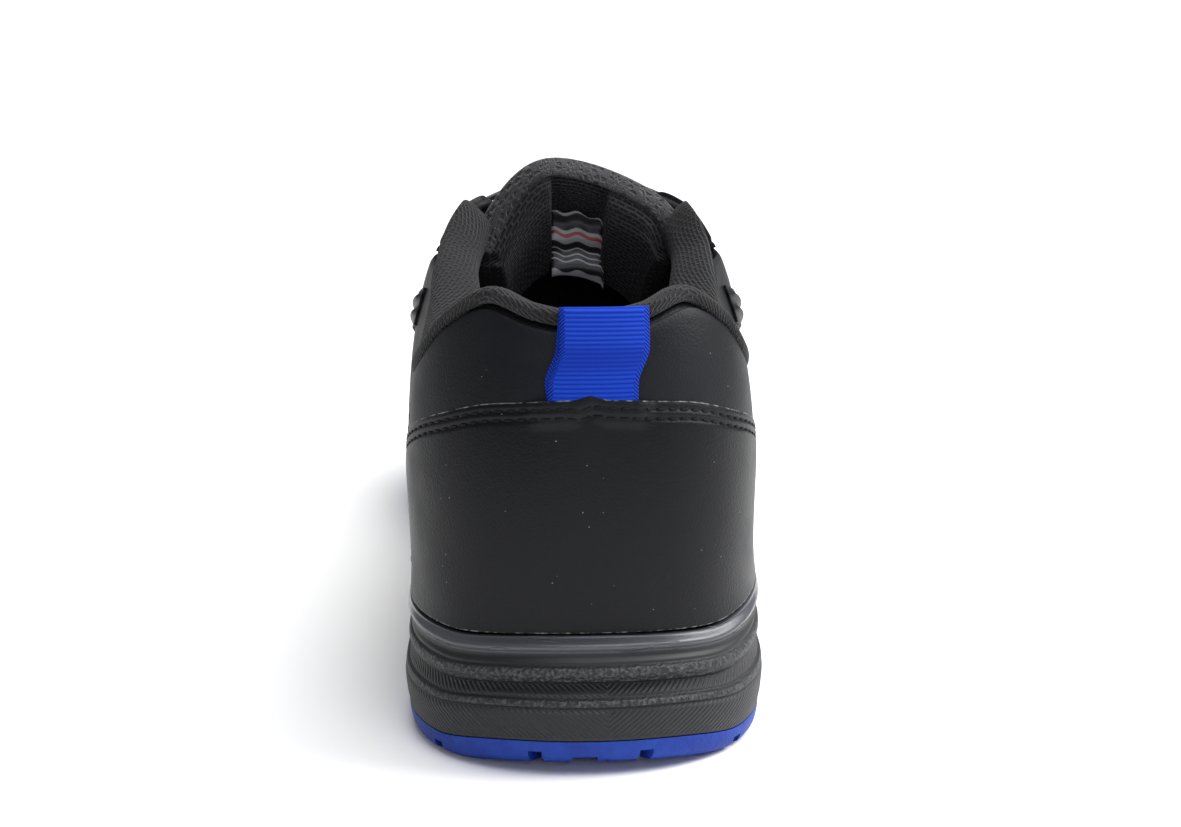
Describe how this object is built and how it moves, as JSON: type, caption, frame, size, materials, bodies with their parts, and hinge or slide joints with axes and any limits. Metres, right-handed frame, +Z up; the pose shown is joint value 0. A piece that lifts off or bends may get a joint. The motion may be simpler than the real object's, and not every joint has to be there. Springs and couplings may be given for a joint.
{
  "type": "safety sneaker",
  "caption": "Black low-cut safety work sneaker for the right foot with padded collar, blue pull loop and a ribbed foam sole on a blue rubber outsole.",
  "frame": {"origin": "on the floor under the centre of the heel, on the underside of the outsole", "axes": "+Y from heel to toe, +X to the outer side of the right foot, +Z up"},
  "size_m": [0.108, 0.3, 0.1302],
  "materials": {
    "outsole_rubber": "matte blue moulded rubber",
    "midsole_foam": "matte black foam",
    "synthetic_leather": "smooth black synthetic leather",
    "lining_mesh": "black spacer mesh",
    "loop_ribbon": "blue ribbed ribbon",
    "eyelet_plastic": "matte black",
    "lace_cord": "flat black woven lace"
  },
  "bodies": {
    "root": {"outsole": "outsole_rubber", "midsole": "midsole_foam", "upper": "synthetic_leather", "insole": "lining_mesh", "tongue": "lining_mesh", "collar_padding": "lining_mesh", "pull_loop": "loop_ribbon", "heel_panel": "synthetic_leather", "heel_counter": "synthetic_leather", "quarter_outer": "synthetic_leather", "quarter_inner": "synthetic_leather", "eyestay_outer": "synthetic_leather", "eyestay_inner": "synthetic_leather", "toe_guard": "synthetic_leather", "eyelet_outer_1": "eyelet_plastic", "eyelet_outer_2": "eyelet_plastic", "eyelet_outer_3": "eyelet_plastic", "eyelet_outer_4": "eyelet_plastic", "eyelet_outer_5": "eyelet_plastic", "eyelet_outer_6": "eyelet_plastic", "eyelet_inner_1": "eyelet_plastic", "eyelet_inner_2": "eyelet_plastic", "eyelet_inner_3": "eyelet_plastic", "eyelet_inner_4": "eyelet_plastic", "eyelet_inner_5": "eyelet_plastic", "eyelet_inner_6": "eyelet_plastic", "lace_bar_1": "lace_cord", "lace_bar_2": "lace_cord", "lace_bar_3": "lace_cord", "lace_bar_4": "lace_cord", "lace_bar_5": "lace_cord", "lace_bar_6": "lace_cord"}
  },
  "joints": []
}
